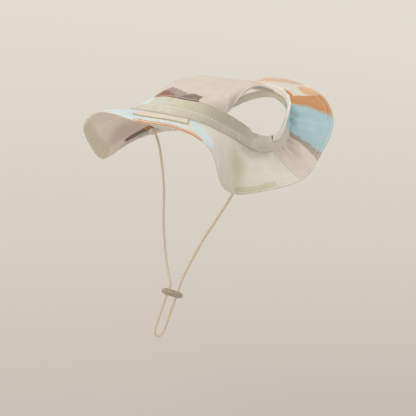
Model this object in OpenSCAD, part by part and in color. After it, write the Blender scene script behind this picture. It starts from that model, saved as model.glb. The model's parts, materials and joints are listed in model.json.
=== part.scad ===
// Soft sun hat: wide limp brim, gathered neck flap, crown open at the back, chin cord.
// Origin: centre of the head opening. Front is -Y, the wearer's left is +X, up is +Z.

/* [Head opening] */
// Front to back size of the head opening
head_len = 176; // [150:1:215]
// Side to side size of the head opening
head_wid = 144; // [120:1:175]
// How far the opening drops at the sides
side_dip = 37; // [25:1:46]
// How much lower the right side hangs than the mean
side_tilt = 9; // [0:1:14]
// Ripple of the opening's edge
edge_wave = 5.5; // [0:0.5:7]

/* [Brim and flap] */
// Mean reach of the brim out from the opening
brim_reach = 44; // [35:1:54]
// Deepest fall of the brim's edge
brim_fall = 46; // [36:1:56]
// Angle from the front where the brim ends and the neck flap starts
flap_from = 112; // [104:1:118]
// How many degrees further forward that seam starts at the opening
seam_slant = 12; // [6:1:16]
// Outer cloth thickness
cloth = 0.6; // [0.4:0.1:0.8]
// Lining thickness
lining = 0.5; // [0.3:0.1:0.7]
// Space between cloth and lining
ply_gap = 0.6; // [0.4:0.1:0.8]

/* [Wall and crown] */
// Height of the crown's wall at its tallest
wall_tall = 19; // [15:1:24]
// Height of the bound strip over the seam, as a part of the wall
casing_part = 0.52; // [0.4:0.01:0.62]
// Angle from the front where the crown leaves the wall
crown_to = 57; // [46:1:66]
// Angle from the front where the wall ends and the back band starts
wall_to = 102; // [98:1:106]
// How far the crown runs straight on before it bends, as a part of its length
crown_lean = 0.38; // [0.3:0.01:0.46]
// Rise of the crown towards its rear hem
crown_back = 26; // [20:1:32]
// Depth of the facing inside the rear hem
facing = 6; // [4:0.5:9]

/* [Back band] */
// Height of the elastic
elastic_h = 5; // [4:0.5:7]
// Thickness of the elastic
elastic_t = 1; // [0.8:0.1:1.4]

/* [Label] */
// Width of the label
label_w = 60; // [48:1:72]
// Depth of the label
label_h = 11; // [9:0.5:14]
// Angle of the label's middle
label_at = 11.5; // [0:0.5:14]

/* [Chin cord] */
// Cord thickness
cord_d = 2.5; // [2:0.1:3]
// Depth of the loop's end under the head opening
cord_drop = 260; // [215:1:315]
// How far inside the opening's edge each of the cord's fixings is
tie_inset = 5; // [2:0.5:10]

/* [Stopper] */
// Length across the two holes
stop_len = 23; // [18:0.5:28]
// Height along the cord
stop_h = 8; // [6:0.5:10]
// Thickness
stop_t = 6; // [5:0.1:7.5]
// Distance between the two holes
hole_gap = 10; // [9:0.5:11]
// Room round the cord in each hole
hole_room = 0.2; // [0.1:0.05:0.3]

/* [Hidden] */
eps = 0.01;
step = 22.5;
// reach, shift round the opening and rise of the brim's edge, every 22.5 degrees from the front
edge = [
  [22.7, 10, -6.8], [37.7, 8, -3.1], [49, -5, -9.2], [35, -27, -37.7],
  [33, -33, -28.4], [40, -35, -17.9], [36, -28, -5], [48, -9, 2],
  [63, 3, 9], [61, 7, 15], [51, 13, -7], [54, 26, -18],
  [42, 26, -39], [38.5, 16, -45.5], [45, 11, -25], [35, 9, -3]
];
reach_k = brim_reach / 44;
fall_k = brim_fall / 46;
// lean inwards and height of the wall's top at the same angles
top = [
  [14.3, 15.3], [9.3, 16.3], [5, 19], [3, 19], [4, 16], [9, 13], [11, 14], [2, 13],
  [2, 10], [3, 12], [5, 13], [8, 13], [10, 12], [12.5, 10.5], [16, 11], [18, 14]
];
// slack of the opening's edge: middle angle, half width, push outwards, lift
slack = [[-25, 28, 5, -5], [38, 20, 0, 2.5], [83, 15, 0, -4.5]];
top_k = wall_tall / 19;
// free rear hem of the crown, from the right corner round to the left corner
hem = [
  [-50, -42, -16], [-56, -30, -4], [-54, -8, 8], [-45, 28, 15], [-24, 54, 13], [0, 68, 14],
  [24, 54, 19], [45, 28, 25], [57, -8, 32], [60, -30, 27], [57, -47, 5]
];
wid_k = head_wid / 144;
len_k = head_len / 176;
// layer heights from the middle surface
o0 = ply_gap / 2;
o1 = o0 + cloth;
i0 = -ply_gap / 2;
i1 = i0 - lining;
// first 1.5 mm above the seam stays free
foot = 0.1;

// cord: one loop from the right fixing down through the stopper and up to the left one
tie_y = -15;
slide_dir = [-0.2, 0, -1] / norm([0.2, 0, 1]);
face_dir = [0.72, 0.69, 0];
long_raw = face_dir - (face_dir * slide_dir) * slide_dir;
long_dir = long_raw / norm(long_raw);
flat_dir = cross(slide_dir, long_dir);
drop_k = cord_drop / 260;
half_span = head_wid / 2 - tie_inset;
stop_at = [-2, tie_y, -205 * drop_k];
run = [-9.5, -5, 10, 25, 37, 42];
right_run = [for (k = [0:5]) stop_at - hole_gap / 2 * long_dir + run[k] * slide_dir];
left_run = [for (k = [0:5]) stop_at + hole_gap / 2 * long_dir + run[5 - k] * slide_dir];
span_k = half_span / 67;
right_fall = [[-67, -15, -45], [-63, -15, -50], [-57, -15, -58], [-51, -15, -70],
  [-44, -15, -87], [-38, -15, -106], [-32, -16, -130], [-24, -17, -154], [-14, -18, -176]];
left_rise = [[6, -12, -186], [14, -13, -166], [26, -14, -138], [37, -14, -116],
  [46, -15, -99], [54, -15, -82], [60, -15, -64], [64, -15, -46], [67, -15, -27]];
turn = [for (p = [[-4.8, 46], [-3.8, 50.5], [-1.5, 53.5], [1.5, 53.5], [3.8, 50.5], [4.8, 46]])
  stop_at + p[0] * hole_gap / 10 * long_dir + p[1] * slide_dir];
route = concat(
  [for (p = right_fall) [p[0] * span_k, p[1], p[2] * drop_k]],
  right_run, turn, left_run,
  [for (p = left_rise) [p[0] * span_k, p[1], p[2] * drop_k]]
);

// smooth curve through a list of values
function blend4(a, b, c, d, t) =
  0.5 * (2 * b + (c - a) * t + (2 * a - 5 * b + 4 * c - d) * t * t
  + (3 * b - a - 3 * c + d) * t * t * t);
function ringed(list, x) =
  let(n = len(list), i = floor(x), t = x - i)
  blend4(list[(i + 2 * n - 1) % n], list[(i + 2 * n) % n],
    list[(i + 1 + 2 * n) % n], list[(i + 2 + 2 * n) % n], t);
function open_curve(list, x) =
  let(n = len(list), i = min(max(floor(x), 0), n - 2), t = x - i)
  blend4(i > 0 ? list[i - 1] : 2 * list[0] - list[1], list[i], list[i + 1],
    i < n - 2 ? list[i + 2] : 2 * list[n - 1] - list[n - 2], t);

// edge of the head opening at an angle from the front
function near(a, b) = let(d = (a - b[0] + 540) % 360 - 180) exp(-pow(d / b[1], 2));
function slack_by(a, k, i = 0) = i >= len(slack) ? 0 : near(a, slack[i]) * slack[i][k] + slack_by(a, k, i + 1);
function ring_pt(a) = [
  head_wid / 2 * sin(a), -head_len / 2 * cos(a),
  slack_by(a, 3) - (side_dip - side_tilt * sin(a)) * sin(a) * sin(a) - edge_wave * cos(3 * a)
] + ring_out(a) * slack_by(a, 2);
function ring_out(a) =
  let(v = [head_len * sin(a), -head_wid * cos(a), 0]) v / norm(v);
function ring_along(a) = let(v = ring_out(a)) [-v[1], v[0], 0];

function brim_pt(a, v) =
  let(e = ringed(edge, a / step))
  ring_pt(a) + ring_out(a) * e[0] * reach_k * (v + 0.22 * v * (1 - v))
  + ring_along(a) * e[1] * reach_k * v
  + [0, 0, e[2] * fall_k * (v - 0.3 * v * (1 - v))];

function wall_pt(a, w) =
  let(e = ringed(top, a / step))
  ring_pt(a) - ring_out(a) * e[0] * top_k * w + [0, 0, e[1] * top_k * w];

function hem_pt(s) =
  let(p = open_curve(hem, (s + 1) * 5)) [p[0] * wid_k, p[1] * len_k, p[2]];

function crown_pt(s, v) =
  let(a = wall_pt(crown_to * s, 1), d = hem_pt(s), e = pow(max(cos(90 * s), 0), 2.5),
    b = a + (d - a) * crown_lean, c = d + (a - d) * 0.22 + [0, 0, crown_back] * e)
  pow(1 - v, 3) * a + 3 * v * pow(1 - v, 2) * b + 3 * v * v * (1 - v) * c + v * v * v * d;

// grid helpers
function unit(v) = v / max(norm(v), eps);
function normals(g) =
  let(n = len(g), m = len(g[0]))
  [for (i = [0:n - 1]) [for (j = [0:m - 1])
    unit(cross(g[min(i + 1, n - 1)][j] - g[max(i - 1, 0)][j],
      g[i][min(j + 1, m - 1)] - g[i][max(j - 1, 0)]))]];
function moved(g, k, d) =
  [for (i = [0:len(g) - 1]) [for (j = [0:len(g[0]) - 1]) g[i][j] + k[i][j] * d]];
function flat(g) = [for (row = g) for (p = row) p];

// closed cloth between two shifts of one grid
module sheet(g, low, high) {
  k = normals(g);
  n = len(g);
  m = len(g[0]);
  all = n * m;
  pts = concat(flat(moved(g, k, low)), flat(moved(g, k, high)));
  up = [for (i = [0:n - 2]) for (j = [0:m - 2]) each [
    [all + i * m + j, all + i * m + j + 1, all + (i + 1) * m + j + 1],
    [all + i * m + j, all + (i + 1) * m + j + 1, all + (i + 1) * m + j]]];
  down = [for (i = [0:n - 2]) for (j = [0:m - 2]) each [
    [i * m + j, (i + 1) * m + j + 1, i * m + j + 1],
    [i * m + j, (i + 1) * m + j, (i + 1) * m + j + 1]]];
  rim = concat(
    [for (j = [0:m - 1]) j],
    [for (i = [1:n - 1]) i * m + m - 1],
    [for (j = [1:m - 1]) (n - 1) * m + m - 1 - j],
    [for (i = [1:n - 2]) (n - 1 - i) * m]);
  r = len(rim);
  side = [for (q = [0:r - 1]) let(p = rim[q], s = rim[(q + 1) % r]) each [
    [p, s, all + s],
    [p, all + s, all + p]]];
  polyhedron(points = pts, faces = concat(up, down, side), convexity = 10);
}

// the seam between brim and flap slants from the opening out to the edge
function seam_at(v) = flap_from - seam_slant * (1 - v);

function patch(kind, a0, a1, na, v0, v1, nv) =
  [for (i = [0:na]) let(a = a0 + (a1 - a0) * i / na)
    [for (j = [0:nv]) let(v = v0 + (v1 - v0) * j / nv)
      kind == "front" ? brim_pt(a * seam_at(v) / flap_from, v)
        : kind == "back" ? brim_pt(180 + (a - 180) * (179.7 - seam_at(v)) / (179.7 - flap_from), v)
        : kind == "label" ? brim_pt(a, v - 0.0045 * (a - label_at)) : kind == "wall" ? wall_pt(a, v) : crown_pt(a, v)]];

// tunnel profile of the back band: shift out and height above its foot
function band_pt(a, q) =
  let(base = wall_pt(a, 0.62), w = q[0] * (elastic_t / 2 + 0.8), h = q[1] * (elastic_h + 1))
  base + ring_out(a) * w + [0, 0, h];
band_line = [[1, 0.08], [1, 0.4], [1, 0.85], [0.7, 1.02], [0, 1.1], [-0.7, 1.02],
  [-1, 0.85], [-1, 0.4], [-1, 0.08]];

module front_brim_outer() {
  color([0.82, 0.8, 0.74])
    sheet(patch("front", -flap_from, flap_from, 60, 0, 1, 7), -o1, -o0);
}

module front_brim_lining() {
  color([0.76, 0.71, 0.64])
    sheet(patch("front", -flap_from, flap_from, 60, 0, 1, 7), -i0, -i1);
}

module back_flap_outer() {
  color([0.71, 0.81, 0.82])
    sheet(patch("back", flap_from + 0.3, 359.7 - flap_from, 38, 0, 1, 7), -o1, -o0);
}

module back_flap_lining() {
  color([0.76, 0.71, 0.64])
    sheet(patch("back", flap_from + 0.3, 359.7 - flap_from, 38, 0, 1, 7), -i0, -i1);
}

module wall_strip() {
  color([0.79, 0.77, 0.68])
    sheet(patch("wall", -wall_to, wall_to, 56, foot, 0.97, 3), o0, o1);
}

module wall_lining() {
  color([0.77, 0.77, 0.72])
    sheet(patch("wall", -wall_to, wall_to, 56, foot, 0.97, 3), i1, i0);
}

module casing_strip() {
  color([0.85, 0.83, 0.77])
    sheet(patch("wall", -wall_to, wall_to, 56, foot, casing_part, 2), o1 + 0.3, o1 + 0.3 + cloth);
}

module back_casing_strip() {
  color([0.71, 0.81, 0.82])
    sheet(patch("wall", wall_to + 0.3, 359.7 - wall_to, 32, foot + 0.02, 0.6, 2), -cloth / 2, cloth / 2);
}

module crown_panel() {
  color([0.85, 0.8, 0.76])
    sheet(patch("crown", -0.985, 0.985, 28, 0.01, 1, 12), o0, o1);
}

module crown_lining() {
  color([0.77, 0.77, 0.72])
    sheet(patch("crown", -0.985, 0.985, 28, 0.01, 1, 12), i1, i0);
}

module crown_rear_facing() {
  k = 1 - facing / (130 * len_k);
  color([0.86, 0.82, 0.78])
    sheet(patch("crown", -0.94, 0.94, 26, k, 0.995, 2), i1 - 0.5 - lining, i1 - 0.5);
}

module back_band_casing() {
  g = [for (i = [0:32]) let(a = wall_to + 0.6 + (358.8 - 2 * wall_to) * i / 32) [for (q = band_line) band_pt(a, q)]];
  color([0.85, 0.8, 0.72])
    sheet(g, -lining / 2, lining / 2);
}

module back_elastic() {
  g = [for (i = [0:32]) let(a = wall_to + 1 + (358 - 2 * wall_to) * i / 32)
    [for (h = [0.14, 0.5, 0.9]) band_pt(a, [0, h])]];
  color([0.94, 0.93, 0.9])
    sheet(g, -elastic_t / 2, elastic_t / 2);
}

label_half = label_w / 2 / (head_wid / 2 + 16) * 180 / PI;
label_v0 = 0.15;
label_v1 = label_v0 + label_h / 30;

module label_patch() {
  color([0.92, 0.85, 0.79])
    sheet(patch("label", label_at - label_half + 1, label_at + label_half - 1, 12,
      label_v0 + 0.02, label_v1 - 0.03, 3), -o1 - 1.3, -o1 - 0.9);
}

module label_backing() {
  color([0.74, 0.71, 0.55])
    sheet(patch("label", label_at - label_half, label_at + label_half, 12,
      label_v0, label_v1, 3), -o1 - 0.7, -o1 - 0.3);
}

module tab(p, s) {
  translate([p[0] * span_k, tie_y, p[2] * drop_k])
    translate([s > 0 ? cord_d / 2 + 0.3 : -cord_d / 2 - 0.3 - 1, -5, s > 0 ? -10 : -6])
      cube([1, 10, 7]);
}

module cord_tab_left() {
  color([0.8, 0.74, 0.64])
    tab(left_rise[8], 1);
}

module cord_tab_right() {
  color([0.8, 0.74, 0.64])
    tab(right_fall[0], -1);
}

module chin_cord() {
  n = (len(route) - 1) * 2;
  mid = [for (i = [0:n]) open_curve(route, i / 2)];
  dir = [for (i = [0:n]) unit(mid[min(i + 1, n)] - mid[max(i - 1, 0)])];
  sides = 8;
  rings = [for (i = [0:n])
    let(x = unit(cross(dir[i], [0.67, -0.74, 0.01])), y = cross(dir[i], x))
    [for (k = [0:sides - 1]) mid[i]
      + cord_d / 2 * (x * cos(360 * k / sides) + y * sin(360 * k / sides))]];
  body = [for (i = [0:n - 1]) for (k = [0:sides - 1]) let(l = (k + 1) % sides) each [
    [i * sides + k, (i + 1) * sides + l, i * sides + l],
    [i * sides + k, (i + 1) * sides + k, (i + 1) * sides + l]]];
  color([0.78, 0.69, 0.56])
    polyhedron(points = flat(rings), faces = concat(body,
      [for (k = [1:sides - 2]) [0, k, k + 1]],
      [for (k = [1:sides - 2]) [n * sides, n * sides + k + 1, n * sides + k]]),
      convexity = 10);
}

module cord_stopper() {
  r = stop_t / 2;
  c = stop_len / 2 - r;
  turn_to = [
    [long_dir[0], flat_dir[0], -slide_dir[0], stop_at[0]],
    [long_dir[1], flat_dir[1], -slide_dir[1], stop_at[1]],
    [long_dir[2], flat_dir[2], -slide_dir[2], stop_at[2]],
    [0, 0, 0, 1]
  ];
  color([0.66, 0.58, 0.49])
    multmatrix(turn_to)
      difference() {
        union() {
          translate([-c, -r, -stop_h / 2])
            cube([2 * c, 2 * r, stop_h]);
          translate([-c, 0, -stop_h / 2])
            cylinder(r = r, h = stop_h, $fn = 48);
          translate([c, 0, -stop_h / 2])
            cylinder(r = r, h = stop_h, $fn = 48);
        }
        translate([-hole_gap / 2, 0, -stop_h])
          cylinder(r = cord_d / 2 + hole_room, h = 2 * stop_h, $fn = 32);
        translate([hole_gap / 2, 0, -stop_h])
          cylinder(r = cord_d / 2 + hole_room, h = 2 * stop_h, $fn = 32);
      }
}

front_brim_outer();
front_brim_lining();
back_flap_outer();
back_flap_lining();
wall_strip();
wall_lining();
casing_strip();
back_casing_strip();
crown_panel();
crown_lining();
crown_rear_facing();
back_band_casing();
back_elastic();
label_patch();
label_backing();
cord_tab_left();
cord_tab_right();
chin_cord();
cord_stopper();
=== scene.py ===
"""Looks of a soft cloth sun hat: limp printed brim, gathered neck flap, crown open at the back, chin cord."""

import json
import math

import bpy
import numpy as np
from mathutils import Matrix, Vector

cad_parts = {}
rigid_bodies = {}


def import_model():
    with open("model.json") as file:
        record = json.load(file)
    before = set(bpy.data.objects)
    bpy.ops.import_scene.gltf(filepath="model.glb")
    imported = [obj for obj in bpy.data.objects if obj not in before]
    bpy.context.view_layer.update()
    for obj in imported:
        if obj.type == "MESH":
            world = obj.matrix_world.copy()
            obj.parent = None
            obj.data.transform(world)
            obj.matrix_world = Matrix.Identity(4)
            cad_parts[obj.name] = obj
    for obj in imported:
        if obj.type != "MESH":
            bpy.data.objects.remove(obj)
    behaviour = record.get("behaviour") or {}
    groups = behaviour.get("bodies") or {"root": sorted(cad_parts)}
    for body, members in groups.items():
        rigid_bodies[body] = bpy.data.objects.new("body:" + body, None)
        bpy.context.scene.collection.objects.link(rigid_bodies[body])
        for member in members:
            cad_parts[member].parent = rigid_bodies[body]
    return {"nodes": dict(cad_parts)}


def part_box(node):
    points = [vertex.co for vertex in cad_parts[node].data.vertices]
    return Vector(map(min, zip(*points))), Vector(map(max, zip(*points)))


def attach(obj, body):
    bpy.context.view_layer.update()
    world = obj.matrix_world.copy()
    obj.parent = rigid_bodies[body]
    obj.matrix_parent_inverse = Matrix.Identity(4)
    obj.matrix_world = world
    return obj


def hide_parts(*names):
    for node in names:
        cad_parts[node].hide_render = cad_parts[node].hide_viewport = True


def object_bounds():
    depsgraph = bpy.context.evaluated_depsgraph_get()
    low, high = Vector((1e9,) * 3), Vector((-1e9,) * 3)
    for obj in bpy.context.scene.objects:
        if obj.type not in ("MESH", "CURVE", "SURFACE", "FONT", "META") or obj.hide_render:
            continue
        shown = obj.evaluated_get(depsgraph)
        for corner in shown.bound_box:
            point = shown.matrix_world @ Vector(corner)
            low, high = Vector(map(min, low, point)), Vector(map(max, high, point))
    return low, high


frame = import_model()
CAD_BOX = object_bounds()

bl_info = {
    "name": "Soft Sun Hat",
    "version": (1, 0, 0),
    "blender": (4, 5, 0),
    "location": "3D View > Sidebar > Sun Hat",
    "description": "Builds a limp sun hat with a neck flap, an open crown and a chin cord",
    "category": "Add Mesh",
}

MM = 0.001
STEP = 22.5


# ---------------------------------------------------------------- sizes and colours


def srgb(code):
    """A hex colour as linear RGB: the sRGB curve undone for each of its three bytes."""
    c = np.array([int(code[i : i + 2], 16) for i in (1, 3, 5)]) / 255
    return tuple(float(x) for x in np.where(c <= 0.04045, c / 12.92, ((c + 0.055) / 1.055) ** 2.4))


def length(name, text, value, low=0.0, high=1.0):
    """A length property in metres."""
    return bpy.props.FloatProperty(
        name=name, description=text, default=value, min=low, max=high, subtype="DISTANCE", unit="LENGTH"
    )


def dye(name, text, code):
    """A colour property, kept as linear RGB."""
    return bpy.props.FloatVectorProperty(
        name=name, description=text, size=3, subtype="COLOR", min=0, max=1, default=srgb(code)
    )


class HatSizes(bpy.types.PropertyGroup):
    """Sizes of the hat that a user may change."""

    head_length: length("Head length", "Front to back size of the head opening", 0.176)
    head_width: length("Head width", "Side to side size of the head opening", 0.144)
    seam_row: length("Inner stitch row", "Distance of the inner row of stitches from the brim's edge", 0.0085)
    edge_row: length("Edge stitch row", "Distance of the outer row of stitches from the brim's edge", 0.0018)
    stitch: length("Stitch", "Length of one stitch with its gap", 0.003)
    cord: length("Cord", "Thickness of the chin cord", 0.0025)
    stopper_length: length("Stopper length", "Length of the stopper across its two holes", 0.023)
    stopper_height: length("Stopper height", "Height of the stopper along the cord", 0.008)
    stopper_depth: length("Stopper depth", "Thickness of the stopper", 0.0064)


class HatColours(bpy.types.PropertyGroup):
    """Dyes of the hat that a user may change."""

    cream: dye("Cream", "Ground colour of the printed cloth", "#D6D0C1")
    olive: dye("Olive", "Grey green of the print", "#B4AC8B")
    # olive of the print, and also the painted shade of a drape fold on the brim's near side
    olive_print_and_painted_shade: dye("Olive wash", "Faint grey green of the print", "#C6C0A6")
    pale_olive: dye("Pale olive", "Trace of grey green on the lining", "#DAD4C1")
    olive_grey: dye("Olive grey", "Grey of the narrow stripe", "#B0A893")
    mint: dye("Mint", "Ground colour of the wall", "#C6C1AA")
    # painted shade: this dye is laid on the brim's near side as the shadow under the bound strip and among the folds,
    # not as print
    shade: dye("Shade", "Faint cool wash of the print", "#D0CABC")
    grey_wash: dye("Grey wash", "Faint cool grey of the print", "#C3C4BA")
    casing: dye("Casing", "Strip sewn over the seam", "#C8C2B1")
    # taupe of the print, and also the painted shadow of the bound strip's roll on the brim's near side
    taupe_print_and_painted_shadow: dye("Taupe wash", "Faint grey brown of the print", "#BFB7A5")
    mauve_wash: dye("Mauve wash", "Faint brown violet of the print", "#A38C82")
    sky: dye("Sky", "Light blue of the print", "#A3BEC2")
    pale_sky: dye("Pale sky", "Washed light blue of the print", "#CCD9DA")
    blush: dye("Blush", "Beige pink of the print", "#D2C4B8")
    amber: dye("Amber", "Orange of the print", "#BF8550")
    peach: dye("Peach", "Light orange of the print", "#D6AE84")
    tan: dye("Tan", "Pink orange of the print", "#D2B298")
    rust: dye("Rust", "Red brown of the print", "#8A563B")
    mauve: dye("Mauve", "Brown violet of the print", "#7F665D")
    taupe: dye("Taupe", "Grey brown of the print", "#A79B8A")
    lilac: dye("Lilac", "Grey violet of the print", "#DBD4CE")
    lining: dye("Lining", "Colour of the lining", "#EAE2D7")
    inside: dye("Inside", "Colour of the crown's lining", "#ECEEE8")
    band: dye("Band", "Colour of the gathered back band", "#E9E3D8")
    thread: dye("Thread", "Sewing thread", "#EAE5DA")
    label: dye("Label", "Face of the blank label", "#DDCFC0")
    label_edge: dye("Label edge", "Piping of the label", "#BFB88F")
    cord: dye("Cord", "Chin cord", "#D6C6AF")
    stopper: dye("Stopper", "Stopper", "#AA9885")
    floor_near: dye("Floor near", "Floor close to the hat", "#C9BEB5")
    floor_far: dye("Floor far", "Floor far from the hat", "#E7E1D5")


def sizes():
    """The size properties of this scene."""
    return bpy.context.scene.hat_sizes


def colours():
    """The colour properties of this scene."""
    return bpy.context.scene.hat_colours


# ---------------------------------------------------------------- the hat's shape, in millimetres

# reach, shift round the opening and rise of the brim's edge, every 22.5 degrees from the front
EDGE = np.array([
    [22.7, 10, -6.8], [37.7, 8, -3.1], [49, -5, -9.2], [35, -27, -37.7],
    [33, -33, -28.4], [40, -35, -17.9], [36, -28, -5], [48, -9, 2],
    [63, 3, 9], [61, 7, 15], [51, 13, -7], [54, 26, -18],
    [42, 26, -39], [38.5, 16, -45.5], [45, 11, -25], [35, 9, -3],
], float)
# lean inwards and height of the wall's top at the same angles
TOP = np.array([
    [14.3, 15.3], [9.3, 16.3], [5, 19], [3, 19], [4, 16], [9, 13], [11, 14], [2, 13],
    [2, 10], [3, 12], [5, 13], [8, 13], [10, 12], [12.5, 10.5], [16, 11], [18, 14],
], float)
# slack of the opening's edge: middle angle, half width, push outwards, lift
SLACK = ((-25, 28, 5, -5), (38, 20, 0, 2.5), (83, 15, 0, -4.5))
# free rear hem of the crown, from the right corner round to the left corner
HEM = np.array([
    [-50, -42, -16], [-56, -30, -4], [-54, -8, 8], [-45, 28, 15], [-24, 54, 13], [0, 68, 14],
    [24, 54, 19], [45, 28, 25], [57, -8, 32], [60, -30, 27], [57, -47, 5],
], float)
# section of the gathered band: out of the wall, and up
BAND = np.array([
    [1, 0.08], [1, 0.4], [1, 0.85], [0.7, 1.02], [0, 1.1], [-0.7, 1.02], [-1, 0.85], [-1, 0.4], [-1, 0.08],
])
SIDE_DIP, SIDE_TILT, WAVE = 37.0, 9.0, 5.5
FLAP_FROM, SEAM_SLANT, WALL_TO, CROWN_TO = 112.0, 12.0, 102.0, 57.0
CROWN_LEAN, CROWN_BACK = 0.38, 26.0
# foot of the wall's sheets and top of the bound strip, as parts of the wall's height
FOOT, STRIP_TOP = 0.02, 0.52
ELASTIC_H, ELASTIC_T = 5.0, 1.0
# drawn thread spacing
THREAD = 1.1
# lifts off the middle surface of the brim's two cloths, the wall's and the crown's
BRIM_OUT, BRIM_IN = (0.02, 0.65), (-0.6, -0.02)
WALL_OUT, WALL_IN = (0.15, 0.75), (-0.65, -0.15)
CROWN_OUT, CROWN_IN = (0.03, 0.7), (-0.65, -0.03)


def cubic(a, b, c, d, t):
    """The smooth curve through b and c at t from 0 to 1: half of 2b + (c-a)t + (2a-5b+4c-d)t2 + (3b-a-3c+d)t3."""
    return 0.5 * (2 * b + (c - a) * t + (2 * a - 5 * b + 4 * c - d) * t**2 + (3 * b - a - 3 * c + d) * t**3)


def round_values(table, angle):
    """Values of a closed table at angles in degrees, smooth between its rows."""
    x = np.asarray(angle, float) / STEP
    i = np.floor(x).astype(int)
    n = len(table)
    rows = [table[(i + k) % n] for k in (-1, 0, 1, 2)]
    return cubic(*rows, (x - i)[..., None])


def open_values(table, x):
    """Values of an open table at row numbers x, smooth between its rows, with its ends carried straight on."""
    full = np.vstack([2 * table[0] - table[1], table, 2 * table[-1] - table[-2]])
    x = np.asarray(x, float)
    i = np.clip(np.floor(x).astype(int), 0, len(table) - 2)
    return cubic(full[i], full[i + 1], full[i + 2], full[i + 3], (x - i)[..., None])


def stack(x, y, z):
    """Three arrays as one array of points."""
    return np.stack(np.broadcast_arrays(x, y, z), -1)


def slack(a, column):
    """Slack at angles: the sum of smooth humps over the table, with distances taken the short way round."""
    total = 0.0
    for row in SLACK:
        d = (np.asarray(a, float) - row[0] + 540) % 360 - 180
        total = total + row[column] * np.exp(-((d / row[1]) ** 2))
    return total


def unit(v):
    """Directions of length 1."""
    return v / np.maximum(np.linalg.norm(v, axis=-1, keepdims=True), 1e-9)


def run_of(line):
    """Distance from a line's start to each of its points."""
    return np.concatenate([[0], np.cumsum(np.linalg.norm(np.diff(line, axis=0), axis=-1))])


def ring(a):
    """Edge of the head opening: an oval in plan that dips by (dip - tilt sin a) sin2 a and ripples by cos 3a, with
    its slack added outwards and up."""
    r = np.radians(a)
    s, c = np.sin(r), np.cos(r)
    z = slack(a, 3) - (SIDE_DIP - SIDE_TILT * s) * s**2 - WAVE * np.cos(3 * r)
    oval = stack(sizes().head_width / 2 / MM * s, -sizes().head_length / 2 / MM * c, z)
    return oval + ring_out(a) * slack(a, 2)[..., None]


def ring_out(a):
    """Level direction square to the oval, outwards."""
    r = np.radians(a)
    return unit(stack(sizes().head_length * np.sin(r), -sizes().head_width * np.cos(r), 0 * r))


def ring_along(a):
    """Level direction round the oval, towards growing angles."""
    v = ring_out(a)
    return stack(-v[..., 1], v[..., 0], 0 * v[..., 0])


def bump(x, centre, width):
    """A smooth hump of height 1: exp of minus the squared distance in widths."""
    return np.exp(-(((x - centre) / width) ** 2))


def brim_shape(a, v):
    """Brim and flap: from the opening's edge out to the table's edge, reach bowed out and rise bowed down in v,
    with the table's shift added round the opening along the level direction and the rise upwards."""
    e = round_values(EDGE, a)
    out = (v + 0.22 * v * (1 - v)) * e[..., 0]
    rise = (v - 0.3 * v * (1 - v)) * e[..., 2]
    p = ring(a) + ring_out(a) * out[..., None] + ring_along(a) * (e[..., 1] * v)[..., None]
    return p + stack(0, 0, rise)


def brim_folds(a, v):
    """Heights of the brim's soft folds in mm: gathers that fade from the back seam, and a few long drapes."""
    a = np.asarray(a, float) % 360
    back = 1 / (1 + np.exp(-(a - 106) / 3)) * (1 - 1 / (1 + np.exp(-(a - 254) / 3)))
    r = np.radians(a)
    gathers = np.cos(29 * r + 1.3 * np.sin(5 * r)) + 0.6 * np.cos(47 * r + 2 * np.sin(3 * r) + 1)
    f = back * 1.7 * gathers * np.exp(-v / 0.35) * (1 - np.exp(-v / 0.05))
    f += back * 1.6 * np.cos(17 * r + 1.5 * v + 0.6) * np.sin(np.pi * np.clip(v, 0, 1)) ** 1.2
    f += 2.2 * bump(a, 84 + 14 * v, 4.5) * np.sin(np.pi * np.clip(v, 0, 1)) ** 0.8
    f -= 2.0 * bump(a, 97 + 10 * v, 4.0) * np.sin(np.pi * np.clip(v, 0, 1))
    f += 1.5 * bump(a, 62 + 10 * v, 5.0) * np.sin(np.pi * np.clip(v, 0, 1))
    f += 1.6 * bump(a, 292 - 12 * v, 6.0) * np.sin(np.pi * np.clip(v, 0, 1)) ** 1.5
    f -= 1.4 * bump(a, 308 - 6 * v, 5.0) * np.sin(np.pi * np.clip(v, 0, 1)) ** 1.5
    return f


def wall_shape(a, w):
    """Wall: from the opening's edge straight up to its top, which leans in by the table."""
    e = round_values(TOP, a)
    return ring(a) - ring_out(a) * (e[..., 0] * w)[..., None] + stack(0, 0, e[..., 1] * w)


def wall_folds(a, w):
    """Heights of the wall's folds in mm: upright folds near each rear end, and slack between."""
    a = (np.asarray(a, float) + 180) % 360 - 180
    f = 3.6 * bump(a, 93, 6) - 3.4 * bump(a, 80.5, 3) + 1.6 * bump(a, 72, 5)
    f += 1.2 * bump(a, -98, 4) - 1.0 * bump(a, -88, 4)
    return f * np.clip(w, 0, 1) ** 1.3 + 0.35 * np.sin(np.radians(a) * 9) * w


def crown_shape(s, v):
    """Crown: a cubic curve in v from the wall's top at the front to the free rear hem. Its handles are parts of the
    straight line between its ends, the rear one raised by cos(90 s) to the power 2.5."""
    s = np.clip(s, -0.9999, 0.9999)
    a = wall_shape(CROWN_TO * s, np.ones_like(s * v))
    d = open_values(HEM, (s + 1) * 5)
    e = np.maximum(np.cos(np.radians(90 * s)), 0) ** 2.5
    b = a + (d - a) * CROWN_LEAN
    c = d + (a - d) * 0.22 + stack(0, 0, CROWN_BACK * e)
    v = np.asarray(v)[..., None]
    return (1 - v) ** 3 * a + 3 * v * (1 - v) ** 2 * b + 3 * v**2 * (1 - v) * c + v**3 * d


def crown_folds(s, v):
    """Heights of the crown's folds in mm: creases running back from the front seam, and a slack dip."""
    rise = np.sin(np.pi * np.clip(v, 0, 1))
    f = 1.1 * np.sin(6.1 * s + 5.5 * v + 0.4) * rise
    f += 0.8 * np.sin(10.3 * s - 7.2 * v + 1.9) * rise**1.5
    f += 1.3 * bump(s - 0.35 * v, 0.28, 0.07) * rise
    return f


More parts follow.
